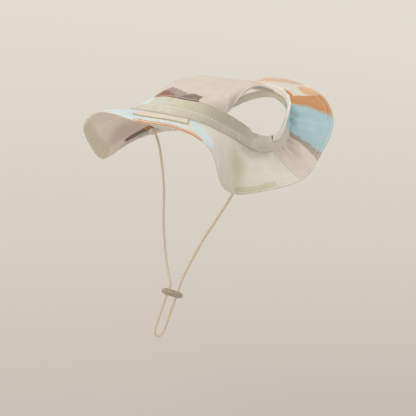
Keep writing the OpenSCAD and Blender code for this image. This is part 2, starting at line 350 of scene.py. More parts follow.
def band_shape(a, q):
    """Gathered band: its section carried round the back of the opening, with crowded ripples."""
    base = wall_shape(a, 0.62 * np.ones_like(a * q))
    p = open_values(BAND, np.clip(q, 0, 1) * 8)
    out = p[..., 0] * (ELASTIC_T / 2 + 0.8)
    return base + ring_out(a) * out[..., None] + stack(0, 0, p[..., 1] * (ELASTIC_H + 1))


def band_folds(a, q):
    """Heights of the band's gathers in mm: two beating waves round the back, weaker at the foot."""
    r = np.radians(a)
    f = np.cos(31 * r + 1.7 * np.sin(7 * r)) + 0.5 * np.cos(47 * r + 2.1 * np.sin(4 * r) + 2)
    return 0.3 * f * np.sin(np.pi * np.clip(q, 0.04, 0.96)) ** 0.5


class Surface:
    """A shape with its folds: its normal is the cross product of its two slopes, turned to the outer side."""

    def __init__(self, shape, folds, side, step_a, step_v):
        self.shape, self.folds, self.side, self.step_a, self.step_v = shape, folds, side, step_a, step_v

    def _normal(self, f, a, v):
        n = np.cross(f(a + self.step_a, v) - f(a - self.step_a, v), f(a, v + self.step_v) - f(a, v - self.step_v))
        return self.side * unit(n)

    def folded(self, a, v):
        return self.shape(a, v) + self._normal(self.shape, a, v) * self.folds(a, v)[..., None]

    def at(self, a, v, lift=0.0):
        """Points lifted off the folded surface, and its outward normals."""
        a, v = np.broadcast_arrays(np.asarray(a, float), np.asarray(v, float))
        n = self._normal(self.folded, a, v)
        return self.folded(a, v) + n * np.asarray(lift)[..., None], n


BRIM = Surface(brim_shape, brim_folds, -1, 0.25, 0.004)
WALL = Surface(wall_shape, wall_folds, 1, 0.25, 0.02)
CROWN = Surface(crown_shape, crown_folds, 1, 0.004, 0.004)
BACK = Surface(band_shape, band_folds, 1, 0.25, 0.01)


# ---------------------------------------------------------------- meshes


def put_mesh(name, points, faces, maps=None, smooth=True):
    """A mesh object from points in mm and faces, with its UV maps given per point. Turned right side out by its
    signed volume, the sum over triangles of a.(b x c) / 6."""
    points = np.asarray(points, float) * MM
    quads = [np.asarray(f) for f in faces]
    volume = 0.0
    for f in quads:
        for k in range(1, f.shape[1] - 1):
            a, b, c = points[f[:, 0]], points[f[:, k]], points[f[:, k + 1]]
            volume += float(np.einsum("ij,ij->i", a, np.cross(b, c)).sum())
    if volume < 0:
        quads = [f[:, ::-1] for f in quads]
    mesh = bpy.data.meshes.new(name)
    mesh.from_pydata(points, [], [list(row) for f in quads for row in f.tolist()])
    loops = np.zeros(len(mesh.loops), np.int32)
    mesh.loops.foreach_get("vertex_index", loops)
    for key, uv in (maps or {}).items():
        layer = mesh.uv_layers.new(name=key)
        layer.data.foreach_set("uv", np.asarray(uv, np.float32)[loops].ravel())
    mesh.polygons.foreach_set("use_smooth", np.full(len(mesh.polygons), smooth))
    mesh.update()
    thing = bpy.data.objects.new(name, mesh)
    bpy.context.scene.collection.objects.link(thing)
    return thing


def grid_faces(n, m, wrap=False, start=0):
    """Quads of an n by m grid of points, joined across the second direction where wrap is set."""
    i, j = np.meshgrid(np.arange(n - 1), np.arange(m if wrap else m - 1), indexing="ij")
    k = (j + 1) % m
    return start + np.stack([i * m + j, (i + 1) * m + j, (i + 1) * m + k, i * m + k], -1).reshape(-1, 4)


def signed(w, power):
    """w to a power, keeping its sign."""
    return np.sign(w) * np.abs(w) ** power


def ball(n, m):
    """Angles round and along a closed round piece of n by m points, and its faces."""
    tt, qq = np.meshgrid(
        np.linspace(0, 2 * np.pi, n, endpoint=False), np.linspace(-np.pi / 2, np.pi / 2, m), indexing="ij"
    )
    grid = np.arange(n * m).reshape(n, m)
    after = np.roll(grid, -1, 0)
    return tt, qq, np.stack([grid[:, :-1], after[:, :-1], after[:, 1:], grid[:, 1:]], -1).reshape(-1, 4)


def close_poles(thing, gap):
    """Welds the points that meet at a round piece's poles."""
    thing.modifiers.new("poles", "WELD").merge_threshold = gap


def sheet_of(name, surface, a, v, low, high, relief=None, slide=None):
    """A closed sheet of cloth between two lifts of a surface: a grid over a and v, its section closed by half-round
    edges and its two ends by strips. relief(a, v) adds height to the outer side only; slide(a, v) moves the grid over
    the surface before it is laid."""
    n, m = len(a), len(v)
    aa, vv = np.meshgrid(a, v, indexing="ij")
    if slide:
        aa, vv = slide(aa, vv)
    under, nn = surface.at(aa, vv, low)
    lift = high + (relief(aa, vv) if relief else 0.0)
    over, _ = surface.at(aa, vv, lift)
    radius = (high - low) / 2
    middle = (under + over) / 2

    def edge(j, other):
        d = unit(middle[:, j] - middle[:, other])
        return [
            middle[:, j] + (d * math.cos(t) + s * nn[:, j] * math.sin(abs(t))) * radius
            for t, s in ((math.radians(45), -1), (0, 1), (math.radians(45), 1))
        ]

    steps = [np.linalg.norm(np.diff(middle, axis=k), axis=-1) for k in (0, 1)]
    cross = np.cross(middle[1:, 1:] - middle[:-1, :-1], middle[1:, :-1] - middle[:-1, 1:])
    arcs = [float(steps[k].sum(axis=k).max()) * MM for k in (0, 1)]
    CUTS[name] = (*arcs, float(np.linalg.norm(cross, axis=-1).sum() / 2) * MM**2)

    far, near = edge(m - 1, m - 2), edge(0, 1)[::-1]
    loop = np.concatenate(
        [under, np.stack(far, 1), over[:, ::-1], np.stack(near, 1)], axis=1
    )
    total = loop.shape[1]
    around = lambda g: np.concatenate([g, g[:, -1:].repeat(3, 1), g[:, ::-1], g[:, :1].repeat(3, 1)], 1)
    place = np.stack([around(aa) / 100, around(vv)], -1)
    along, across = run_of(middle[:, m // 2]), run_of(middle[n // 2])
    across = np.concatenate([across, [across[-1]] * 3, across[::-1], [across[0]] * 3])
    weave = np.stack(np.broadcast_arrays(along[:, None], across[None]), -1) / 100
    j = np.arange(m - 1)
    caps, rounds = [], []
    for i in (0, n - 1):
        strip = np.stack([j, j + 1, total - 5 - j, total - 4 - j], -1) + i * total
        ends = np.array([
            [m - 1, m, m + 1, m + 2, m + 3], [total - 4, total - 3, total - 2, total - 1, 0],
        ]) + i * total
        caps.append(strip if i else strip[:, ::-1])
        rounds.append(ends if i else ends[:, ::-1])
    body = grid_faces(n, total, wrap=True)
    return put_mesh(
        name, loop.reshape(-1, 3), [body[:, ::-1]] + [c[:, ::-1] for c in caps] + [r[:, ::-1] for r in rounds],
        {"weave": weave.reshape(-1, 2), "place": place.reshape(-1, 2)},
    )


CUTS = {}


def cut(thing):
    """Reads a sheet of cloth's width and length, its middle's longest arcs, and its area, the middle's, and clamps its
    length to where the area fills 0.4 to 0.9 of the cut's rectangle; it keeps nothing and returns the sheet."""
    width, deep, area = CUTS[thing.name]
    deep = float(np.clip(deep, 1.1 * area / width, 2.5 * area / width))
    return thing


def tube(name, path, radius, sides=16, braid=0.0, lay=3.2):
    """A round cord carried along a path in mm with a frame that turns as little as it can; its surface rises by
    braid times sin(angle + length) sin(angle - length), which is a braid of that lay."""
    d = unit(np.gradient(path, axis=0))
    x = np.zeros_like(d)
    x[0] = unit(np.cross(d[0], [0.67, -0.74, 0.05]))
    for i in range(1, len(d)):
        x[i] = unit(x[i - 1] - d[i] * (x[i - 1] @ d[i]))
    y = np.cross(d, x)
    s = run_of(path)
    t = np.arange(sides) * 2 * np.pi / sides
    w = 2 * np.pi * s[:, None] / lay
    r = radius + braid * (np.sin(4 * t[None] + w) * np.sin(4 * t[None] - w) - 1)
    round_it = x[:, None] * np.cos(t)[None, :, None] + y[:, None] * np.sin(t)[None, :, None]
    points = path[:, None] + round_it * r[..., None]
    uv = np.stack(np.broadcast_arrays(s[:, None] / 100, t[None] / (2 * np.pi)), -1)
    n = len(path)
    ends = np.vstack([path[0], path[-1]])
    flat = np.vstack([points.reshape(-1, 3), ends])
    uv = np.vstack([uv.reshape(-1, 2), [[0, 0], [0, 0]]])
    k = np.arange(sides)
    l = (k + 1) % sides
    start = np.stack([l, k, np.full(sides, n * sides)], -1)
    end = np.stack([k, l, np.full(sides, 0)], -1) + (n - 1) * sides
    end[:, 2] = n * sides + 1
    return put_mesh(name, flat, [grid_faces(n, sides, wrap=True), start[:, ::-1], end[:, ::-1]], {"weave": uv})


def resample(points, extra, pitch):
    """Points at an even pitch along a line, with a second array taken along."""
    s = run_of(points)
    at = np.arange(pitch / 2, s[-1], pitch)
    pick = lambda values: np.stack([np.interp(at, s, values[:, k]) for k in range(3)], -1)
    return pick(points), pick(extra)


def stitch_points(lines, pitch):
    """Vertices and faces of short rounded stitches along lines: each is an elongated bead, six points round and
    four rings long, set into the cloth by half its thickness."""
    rings = np.array([[-0.36, 0.1], [-0.3, 0.24], [0.3, 0.24], [0.36, 0.1]])
    t = np.arange(6) * np.pi / 3
    points, faces, count = [], [], 0
    for line, normals in lines:
        p, n = resample(line, normals, pitch)
        d = unit(np.gradient(p, axis=0))
        n = unit(n - d * np.einsum("ij,ij->i", n, d)[:, None])
        b = np.cross(d, n)
        side = b[:, None, None] * np.cos(t)[None, None, :, None] + n[:, None, None] * np.sin(t)[None, None, :, None]
        bead = p[:, None, None] + d[:, None, None] * (rings[:, 0] * pitch)[None, :, None, None]
        bead = bead + side * rings[:, 1][None, :, None, None]
        points.append(bead.reshape(-1, 3))
        k = np.arange(6)
        one = np.concatenate([
            np.stack([i * 6 + k, i * 6 + (k + 1) % 6, (i + 1) * 6 + (k + 1) % 6, (i + 1) * 6 + k], -1)
            for i in range(3)
        ])
        faces.append((one[None] + (count + 24 * np.arange(len(p)))[:, None, None]).reshape(-1, 4))
        count += 24 * len(p)
    points = np.concatenate(points)
    faces = np.concatenate(faces)
    first = np.arange(0, count, 24)[:, None]
    caps = np.concatenate([first + np.arange(6)[None, ::-1], first + 18 + np.arange(6)[None]])
    return points, faces, caps


# ---------------------------------------------------------------- materials


def add(tree, kind, settings=None, **links):
    """Adds a node: settings go on the node or its input values, links feed its inputs by name or by _number."""
    node = tree.nodes.new("ShaderNode" + kind)
    for key, value in (settings or {}).items():
        if isinstance(key, int) or key in node.inputs:
            node.inputs[key].default_value = value
        else:
            setattr(node, key, value)
    for key, source in links.items():
        name = int(key[1:]) if key[0] == "_" and key[1:].isdigit() else key.replace("_", " ")
        tree.links.new(source, node.inputs[name])
    return node


def blank_material(name, colour, **values):
    """A material whose surface shader has the given values, with a plain colour to build on."""
    mat = bpy.data.materials.new(name)
    mat.use_nodes = True
    tree = mat.node_tree
    tree.nodes.clear()
    shader = add(tree, "BsdfPrincipled", {key.replace("_", " "): value for key, value in values.items()})
    add(tree, "OutputMaterial", None, _0=shader.outputs[0])
    base = add(tree, "RGB").outputs[0]
    base.default_value = (*colour, 1)
    return mat, tree, shader, base


def finish(tree, shader, colour, tone, spread, shades, *layers):
    """Gives the shader its colour, scaled from one shade to the other as tone runs over its spread, and raises its
    surface by layers of (height, strength, depth in metres), the coarsest first."""
    ends = dict(zip(("From Min", "From Max", "To Min", "To Max"), (*spread, *shades)))
    level = add(tree, "MapRange", ends, Value=tone)
    shade = add(tree, "VectorMath", {"operation": "SCALE"}, _0=colour, Scale=level.outputs[0])
    tree.links.new(shade.outputs[0], shader.inputs["Base Color"])
    below = {}
    for height, strength, depth in layers:
        raised = add(tree, "Bump", {"Strength": strength, "Distance": depth}, Height=height, **below).outputs[0]
        tree.links.new(raised, shader.inputs["Normal"])
        below = {"Normal": raised}


def blot(tree, place, centre, half, turn=0.0, soft=0.06):
    """Mask of a blot, used for print and for painted shade: 1 inside a rounded box of half size half about centre,
    turned, on the place map. A very soft one fades all the way from its centre."""
    move = add(tree, "Mapping", {
        "vector_type": "TEXTURE", "Location": (*centre, 0), "Rotation": (0, 0, math.radians(turn)), "Scale": (*half, 1),
    }, Vector=place)
    size = add(tree, "VectorMath", {"operation": "ABSOLUTE"}, _0=move.outputs[0])
    part = add(tree, "SeparateXYZ", None, _0=size.outputs[0])
    square = 1.7 if soft > 0.25 else 4.0
    far = [add(tree, "Math", {"operation": "POWER", 1: square}, _0=part.outputs[k]) for k in (0, 1)]
    both = add(tree, "Math", {"operation": "ADD"}, _0=far[0].outputs[0], _1=far[1].outputs[0])
    ends = {"From Min": 1 - soft * 3, "From Max": 1 + soft * 3, "To Min": 1.0, "To Max": 0.0}
    fade = add(tree, "MapRange", {**ends, "interpolation_type": "SMOOTHSTEP"}, Value=both.outputs[0])
    return fade.outputs[0]


def printed_cotton(name, ground, blots=(), drift=(0.04, 0.12)):
    """Cotton muslin, plain woven and printed: matt, a little fuzzy, with slubs along both threads. Its threads are
    0.4 mm apart on the real cloth, and are drawn THREAD apart so that they show."""
    mat, tree, shader, colour = blank_material(
        name, ground, Roughness=0.88, Sheen_Weight=0.12, Sheen_Roughness=0.6, Specular_IOR_Level=0.25
    )
    place, weave = (add(tree, "UVMap", {"uv_map": key}).outputs[0] for key in ("place", "weave"))
    wander = add(tree, "TexNoise", {"Scale": 7.0, "Detail": 2.0, "Roughness": 0.5}, Vector=weave)
    shift = add(tree, "VectorMath", {"operation": "SUBTRACT", 1: (0.5, 0.5, 0.5)}, _0=wander.outputs["Color"])
    small = add(tree, "VectorMath", {"operation": "MULTIPLY", 1: (*drift, 0)}, _0=shift.outputs[0])
    wavy = add(tree, "VectorMath", {"operation": "ADD"}, _0=place, _1=small.outputs[0]).outputs[0]
    # each blot lays a dye over the colour: print, and on the brim's near side also painted shade and shadow
    for ink, *where in blots:
        mask = blot(tree, wavy, *where)
        colour = add(tree, "Mix", {"data_type": "RGBA", 7: (*ink, 1)}, _0=mask, _6=colour).outputs[2]
    # dye takes unevenly: broad cloudiness, then thin slubs along each thread direction
    cloud = add(tree, "TexNoise", {"Scale": 5.0, "Detail": 4.0, "Roughness": 0.6}, Vector=weave)
    slubs = []
    for size in ((9, 90, 1), (90, 9, 1)):
        along = add(tree, "Mapping", {"Scale": size}, Vector=weave).outputs[0]
        slubs.append(add(tree, "TexNoise", {"Scale": 1.0, "Detail": 2.0}, Vector=along).outputs[0])
    both = add(tree, "Math", {"operation": "ADD"}, _0=slubs[0], _1=slubs[1]).outputs[0]
    tone = add(tree, "Math", {"operation": "MULTIPLY_ADD", 1: 0.5}, _0=both, _2=cloud.outputs[0])
    # threads over and under: two square waves at right angles
    bands = {"wave_type": "BANDS", "Scale": 5 / THREAD * math.pi, "Distortion": 0.6, "Detail": 1.0}
    waves = [add(tree, "TexWave", {**bands, "bands_direction": axis}, Vector=weave).outputs[1] for axis in ("X", "Y")]
    cross = add(tree, "Math", {"operation": "MULTIPLY"}, _0=waves[0], _1=waves[1])
    height = add(tree, "Math", {"operation": "MULTIPLY_ADD", 1: 0.6}, _0=cross.outputs[0], _2=both)
    crease = add(
        tree, "TexNoise", {"Scale": 14.0, "Detail": 5.0, "Roughness": 0.6, "Distortion": 0.8}, Vector=weave
    )
    layers = (crease.outputs[0], 0.35, 0.0012), (height.outputs[0], 0.5, 0.00025)
    finish(tree, shader, colour, tone.outputs[0], (0.7, 1.3), (0.9, 1.08), *layers)
    return mat


def plain_thread(name, colour):
    """Polyester sewing thread, twisted: satin, pale, with a faint twist."""
    mat, tree, shader, base = blank_material(name, colour, Roughness=0.6)
    where = add(tree, "TexCoord").outputs["Object"]
    twist = add(tree, "TexNoise", {"Scale": 2500.0, "Detail": 1.0}, Vector=where)
    finish(tree, shader, base, twist.outputs[0], (0, 1), (0.9, 1.05))
    return mat


def braided_cord(name, colour):
    """Waxed cotton cord, braided: matt, darker between the strands by painted shade; they cross every 3 mm."""
    mat, tree, shader, base = blank_material(name, colour, Roughness=0.75, Specular_IOR_Level=0.3)
    uv = add(tree, "UVMap", {"uv_map": "weave"}).outputs[0]
    part = add(tree, "SeparateXYZ", None, _0=uv)
    # radians of the braid in 0.1 m, and in one turn of its four strands
    run, turn = 196.0, 25.13
    turns = []
    for sign in (1, -1):
        a = add(tree, "Math", {"operation": "MULTIPLY", 1: run}, _0=part.outputs[0]).outputs[0]
        b = add(tree, "Math", {"operation": "MULTIPLY_ADD", 1: turn * sign}, _0=part.outputs[1], _2=a)
        turns.append(add(tree, "Math", {"operation": "SINE"}, _0=b.outputs[0]).outputs[0])
    weave = add(tree, "Math", {"operation": "MULTIPLY"}, _0=turns[0], _1=turns[1]).outputs[0]
    where = add(tree, "TexCoord").outputs["Object"]
    fuzz = add(tree, "TexNoise", {"Scale": 900.0, "Detail": 3.0}, Vector=where).outputs[0]
    # painted shade: the tone darkens the colour in the grooves between the strands, with a fine fuzz over it
    tone = add(tree, "Math", {"operation": "MULTIPLY_ADD", 1: 0.5}, _0=weave, _2=fuzz).outputs[0]
    finish(tree, shader, base, tone, (-0.1, 1), (0.93, 1.03), (tone, 0.3, 0.0001))
    return mat


def moulded_nylon(name, colour):
    """Nylon, injection moulded and tumbled: glossy with faint clouding in the colour and soft, shallow dents."""
    mat, tree, shader, base = blank_material(
        name, colour, Roughness=0.2, IOR=1.53, Coat_Weight=0.7, Coat_Roughness=0.12
    )
    where = add(tree, "TexCoord").outputs["Object"]
    cloud = add(tree, "TexNoise", {"Scale": 140.0, "Detail": 4.0}, Vector=where).outputs[0]
    finish(tree, shader, base, cloud, (0.3, 0.7), (0.88, 1.1), (cloud, 0.2, 0.0002))
    return mat


def dress(thing, mat, body="hat", nodes=()):
    """Gives a piece its material and its body, and hides the CAD nodes that it stands for."""
    thing.data.materials.clear()
    thing.data.materials.append(mat)
    if nodes:
        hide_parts(*nodes)
    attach(thing, body)
    return thing


def cotton(shape, look, nodes, relief=None, slide=None):
    """Lays a sheet of shape (name, surface, a, v, lifts) and gives it a look (name, ground, blots, drift)."""
    name, surface, a, v, lifts = shape
    return dress(sheet_of(name, surface, a, v, *lifts, relief, slide), printed_cotton(*look), "hat", nodes)


# ---------------------------------------------------------------- operators


# where the camera stands, what is up in its view, and what lies ahead of it
EYE = (0.857, -0.952, 0.226)
HIGH = (-0.243, 0.011, 0.970)
AIM = (0.0196, -0.0072, -0.105)


def view_axes():
    """Right, up and backward directions of the view: up made square to the line from the aim to the eye."""
    back = (Vector(EYE) - Vector(AIM)).normalized()
    right = Vector(HIGH).cross(back).normalized()
    return right, back.cross(right), back


class HAT_OT_camera(bpy.types.Operator):
    """Place the camera low in front of the hat's left side"""

    bl_idname = "hat.camera"
    bl_label = "Camera"

    def execute(self, context):
        x, y, away = view_axes()
        lens = bpy.data.cameras.new("camera")
        lens.sensor_width = 36
        lens.lens = 110.25
        lens.clip_end = 100
        camera = bpy.data.objects.new("camera", lens)
        camera.matrix_world = Matrix.Translation(Vector(EYE)) @ Matrix((x, y, away)).transposed().to_4x4()
        context.scene.collection.objects.link(camera)
        context.scene.camera = camera
        return {"FINISHED"}


# the cord's route in mm: down the right side, through the stopper, round the loop and up the left side
STOP_AT = np.array([-2.0, -15.0, -205.0])
SLIDE = np.array([-0.2, 0, -1]) / math.hypot(0.2, 1)
FACE = np.array([0.72, 0.69, 0])
LONG = unit(FACE - (FACE @ SLIDE) * SLIDE)
FLAT = np.cross(SLIDE, LONG)
HOLE_GAP = 10.0
RUN = np.array([-9.5, -5, 10, 25, 37, 42])
TURN = np.array([[-4.8, 46], [-3.8, 50.5], [-1.5, 53.5], [1.5, 53.5], [3.8, 50.5], [4.8, 46]])
RIGHT_FALL = np.array([
    [-67, -15, -45], [-63, -15, -50], [-57, -15, -58], [-51, -15, -70],
    [-44, -15, -87], [-38, -15, -106], [-32, -16, -130], [-24, -17, -154], [-14, -18, -176],
], float)
LEFT_RISE = np.array([
    [6, -12, -186], [14, -13, -166], [26, -14, -138], [37, -14, -116],
    [46, -15, -99], [54, -15, -82], [60, -15, -64], [64, -15, -46], [67, -15, -27],
], float)


def cord_path(pitch=0.45):
    """The cord's middle line: a smooth curve through the route's points, at an even pitch in mm, with its length
    and the route."""
    route = np.vstack([
        RIGHT_FALL,
        STOP_AT - HOLE_GAP / 2 * LONG + RUN[:, None] * SLIDE,
        STOP_AT + TURN[:, :1] * LONG + TURN[:, 1:] * SLIDE,
        STOP_AT + HOLE_GAP / 2 * LONG + RUN[::-1, None] * SLIDE,
        LEFT_RISE,
    ])
    fine = open_values(route, np.linspace(0, len(route) - 1, (len(route) - 1) * 60 + 1))
    s = run_of(fine)
    at = np.linspace(0, s[-1], int(s[-1] / pitch))
    return np.stack([np.interp(at, s, fine[:, k]) for k in range(3)], -1), float(s[-1]), route


class HAT_OT_cord(bpy.types.Operator):
    """Make the chin cord and the stopper on it"""

    bl_idname = "hat.cord"
    bl_label = "Chin cord"

    def execute(self, context):
        size = sizes()
        path, total, route = cord_path()
        radius = size.cord / 2 / MM
        cord = tube("cord_braid", path, radius + 0.03, sides=20, braid=0.025)
        dress(cord, braided_cord("braided cotton cord", colours().cord), "chin_loop", ["chin_cord"])
        # oval bead about its own axes: long (x), flat (y) and up the cord (z)
        half, deep, tall = (v / 2 / MM for v in (size.stopper_length, size.stopper_depth, size.stopper_height))
        tt, qq, faces = ball(96, 40)
        rim = np.cos(qq) ** 0.55
        x = half * signed(np.cos(tt), 0.85) * rim
        waist = 1 - 0.1 * np.exp(-((x / 4.5) ** 2))
        y = deep * signed(np.sin(tt), 0.85) * rim * waist
        z = tall * signed(np.sin(qq), 0.75) * (0.86 + 0.14 * (x / half) ** 2)
        local = stack(x, y, z).reshape(-1, 3)
        points = STOP_AT + local[:, :1] * LONG + local[:, 1:2] * FLAT - local[:, 2:] * SLIDE
        bead = put_mesh("stopper_bead", points, [faces])
        close_poles(bead, 0.00002)
        for side in (-1, 1):
            centre = STOP_AT + side * HOLE_GAP / 2 * LONG
            ends = np.stack([centre + SLIDE * 12, centre - SLIDE * 12])
            line = ends[0] + (ends[1] - ends[0]) * np.linspace(0, 1, 9)[:, None]
            drill = tube("drill", line, radius + 0.22, sides=40)
            hole = bead.modifiers.new("hole", "BOOLEAN")
            hole.operation, hole.solver, hole.object = "DIFFERENCE", "EXACT", drill
            bpy.context.view_layer.update()
            fresh = bpy.data.meshes.new_from_object(bead.evaluated_get(bpy.context.evaluated_depsgraph_get()))
            bead.modifiers.clear()
            bead.data = fresh
            bpy.data.objects.remove(drill)
        soften = bead.modifiers.new("hole edges", "BEVEL")
        soften.width, soften.segments, soften.limit_method, soften.angle_limit = 0.0004, 3, "ANGLE", math.radians(50)
        dress(bead, moulded_nylon("moulded nylon", colours().stopper), "stopper", ["cord_stopper"])
        [tuple(p) for p in route * MM]
        return {"FINISHED"}


def edge_relief(a, v):
    """Height of the turned hem in mm: full between the stitch rows, pinched at each row, from the edge inwards."""
    reach = np.linalg.norm(round_values(EDGE, a), axis=-1)
    d = (1 - v) * reach
    pinch = -0.35 * bump(d, sizes().seam_row / MM, 0.8) - 0.22 * bump(d, sizes().edge_row / MM, 0.5)
    pucker = 0.22 * bump(d, sizes().seam_row / MM, 2.2) * np.sin(a * 1.9) + 0.12 * bump(d, 4.5, 3) * np.sin(a * 3.1 + 1)
    return pinch + pucker + 0.18 * bump(d, 4.8, 3.0)


def seam_at(v):
    """Angle of the seam between brim and flap: it slants forwards towards the opening."""
    return FLAP_FROM - SEAM_SLANT * (1 - v)


def front_slide(a, v):
    """Squeezes the brim's angles so that both of its ends follow the seam."""
    return a * seam_at(v) / FLAP_FROM, v


def back_slide(a, v):
    """Widens the flap's angles so that both of its ends follow the seam."""
    return 180 + (a - 180) * (179.96 - seam_at(v)) / (179.96 - FLAP_FROM), v


def row_values(low, high, count, crowd=0.0):
    """Even values from low to high, crowded towards both ends by crowd."""
    t = np.linspace(0, 1, count)
    t = t - crowd * np.sin(2 * np.pi * t) / (2 * np.pi)
    return low + (high - low) * t


class HAT_OT_brim(bpy.types.Operator):
    """Make the printed brim and its lining"""

    bl_idname = "hat.brim"
    bl_label = "Brim"

    def execute(self, context):
        ink = colours()
        a = row_values(-FLAP_FROM, FLAP_FROM, 400)
        v = row_values(0.0, 1.0, 56, 0.5)
        blots = [
            (ink.blush, (-0.62, 0.5), (0.2, 0.7), 10, 0.05),
            (ink.olive, (-0.86, 0.55), (0.07, 0.6), 12, 0.07),
            (ink.pale_sky, (-0.15, 0.55), (0.12, 0.75), -6, 0.08),
            (ink.pale_sky, (0.1, 0.74), (0.2, 0.14), 0, 0.05),
            (ink.pale_sky, (0.385, 0.4), (0.06, 0.64), -8, 0.05),
            (ink.lilac, (0.52, 0.8), (0.05, 0.22), -6, 0.08),
            (ink.tan, (0.175, 1.0), (0.225, 0.2), 0, 0.05),
            (ink.amber, (0.19, 1.0), (0.215, 0.06), 0, 0.05),
            (ink.amber, (0.17, 0.835), (0.2, 0.025), 0, 0.1),
            # painted shade: the shadow under the bound strip and among the folds on the brim's near side
            (ink.shade, (0.62, 0.22), (0.08, 0.26), -22, 0.3),
            # painted shade: the shade of a drape fold on the brim's near side, laid in the olive dye
            (ink.olive_print_and_painted_shade, (0.70, 0.5), (0.06, 0.3), -8, 0.33),
            # painted shadow: the shadow that the roll of the bound strip casts on the brim below it
            (ink.taupe_print_and_painted_shadow, (0.8, 0.04), (0.14, 0.2), -6, 0.33),
            (ink.olive_print_and_painted_shade, (0.86, 0.93), (0.12, 0.07), 0, 0.12),
        ]
        cotton(
            ("brim_print", BRIM, a, v, BRIM_OUT), ("printed cotton, brim", ink.cream, blots),
            ["front_brim_outer"], edge_relief, front_slide,
        )
        under_blots = [
            (ink.pale_olive, (-0.6, 0.98), (0.2, 0.2), 12, 0.24),
            (ink.blush, (-0.7, 0.36), (0.1, 0.4), 0, 0.33),
            (ink.blush, (-0.92, 0.5), (0.1, 0.6), 8, 0.3),
            (ink.mauve, (-0.812, 0.26), (0.03, 0.3), 2, 0.08),
            (ink.amber, (-0.806, 0.08), (0.02, 0.08), 0, 0.08),
            (ink.sky, (-0.862, 0.12), (0.022, 0.3), 2, 0.08),
        ]
        under = cotton(
            ("brim_underside", BRIM, a, v, BRIM_IN), ("cotton lining, brim", ink.lining, under_blots),
            ["front_brim_lining"], None, front_slide,
        )
        cut(under)
        return {"FINISHED"}


class HAT_OT_flap(bpy.types.Operator):
    """Make the gathered neck flap and its lining"""

    bl_idname = "hat.flap"
    bl_label = "Neck flap"

    def execute(self, context):
        ink = colours()
        a = row_values(FLAP_FROM + 0.04, 359.96 - FLAP_FROM, 420)
        v = row_values(0.0, 1.0, 60, 0.5)
        blots = [
            (ink.blush, (1.18, 0.5), (0.15, 0.9), -3, 0.04),
            (ink.taupe, (1.322, 0.5), (0.034, 0.9), 2.2, 0.2),
            (ink.sky, (1.53, 0.5), (0.19, 0.9), 1.5, 0.04),
            (ink.olive_grey, (1.66, 0.5), (0.045, 0.9), 7.2, 0.05),
            (ink.cream, (1.9, 0.5), (0.16, 0.9), 8, 0.05),
            (ink.peach, (1.765, 0.95), (0.05, 0.26), 8, 0.1),
            (ink.amber, (1.705, 0.5), (0.072, 0.9), 6.6, 0.05),
            (ink.amber, (1.82, 0.16), (0.12, 0.3), -10, 0.08),
            (ink.tan, (1.98, 1.02), (0.15, 0.2), 0, 0.07),
            (ink.blush, (2.2, 0.5), (0.12, 0.9), 8, 0.06),
            (ink.olive_print_and_painted_shade, (2.42, 0.5), (0.08, 0.9), 4, 0.06),
        ]
        top = cotton(
            ("flap_print", BRIM, a, v, BRIM_OUT), ("printed cotton, flap", ink.cream, blots),
            ["back_flap_outer"], edge_relief, back_slide,
        )
        cut(top)
        under = cotton(
            ("flap_underside", BRIM, a, v, BRIM_IN), ("cotton lining, flap", ink.lining),
            ["back_flap_lining"], None, back_slide,
        )
        cut(under)
        return {"FINISHED"}


def casing_relief(a, w):
    """Height of the bound strip in mm: puffed between its two pinched stitch rows, with small puckers."""
    t = np.clip((w - FOOT) / (STRIP_TOP - FOOT), 0, 1)
    return 0.45 * np.sin(np.pi * t) ** 0.6 + 0.14 * np.sin(a * 2.3) * np.sin(np.pi * t)


def casing_slide(a, w):
    """Narrows the bound strip at the sides, where it is rolled under."""
    side = 0.34 * bump(a, 64, 22) + 0.7 * bump(a, -40, 28)
    return a, FOOT + (w - FOOT) * (1 - side)


class HAT_OT_wall(bpy.types.Operator):
    """Make the crown's wall, its lining and the bound strip over the seam"""

    bl_idname = "hat.wall"
    bl_label = "Wall"

    def execute(self, context):
        ink = colours()
        a = row_values(-WALL_TO, WALL_TO, 380)
        blots = [
            (ink.pale_sky, (-0.3, 0.5), (0.19, 0.9), 4, 0.06),
            (ink.grey_wash, (0.0, 0.62), (0.12, 0.3), 0, 0.33),
            (ink.taupe_print_and_painted_shadow, (0.62, 0.8), (0.2, 0.35), 0, 0.2),
            (ink.cream, (0.92, 0.7), (0.1, 0.6), -4, 0.1),
            (ink.blush, (-0.85, 0.5), (0.14, 0.9), 0, 0.06),
        ]
        band = cotton(
            ("wall_band", WALL, a, row_values(FOOT, 0.985, 22, 0.3), WALL_OUT),
            ("printed cotton, wall", ink.mint, blots), ["wall_strip"],
        )
        inner = cotton(
            ("wall_inside", WALL, a, row_values(FOOT, 0.985, 16, 0.3), WALL_IN), ("cotton lining, wall", ink.inside),
            ["wall_lining"],
        )
        cut(inner)
        strip = cotton(
            ("seam_strip", WALL, a, row_values(FOOT, STRIP_TOP, 18, 0.3), (0.8, 1.4)),
            ("cotton strip over the seam", ink.casing), ["casing_strip"], casing_relief, casing_slide,
        )
        cut(band)
        return {"FINISHED"}


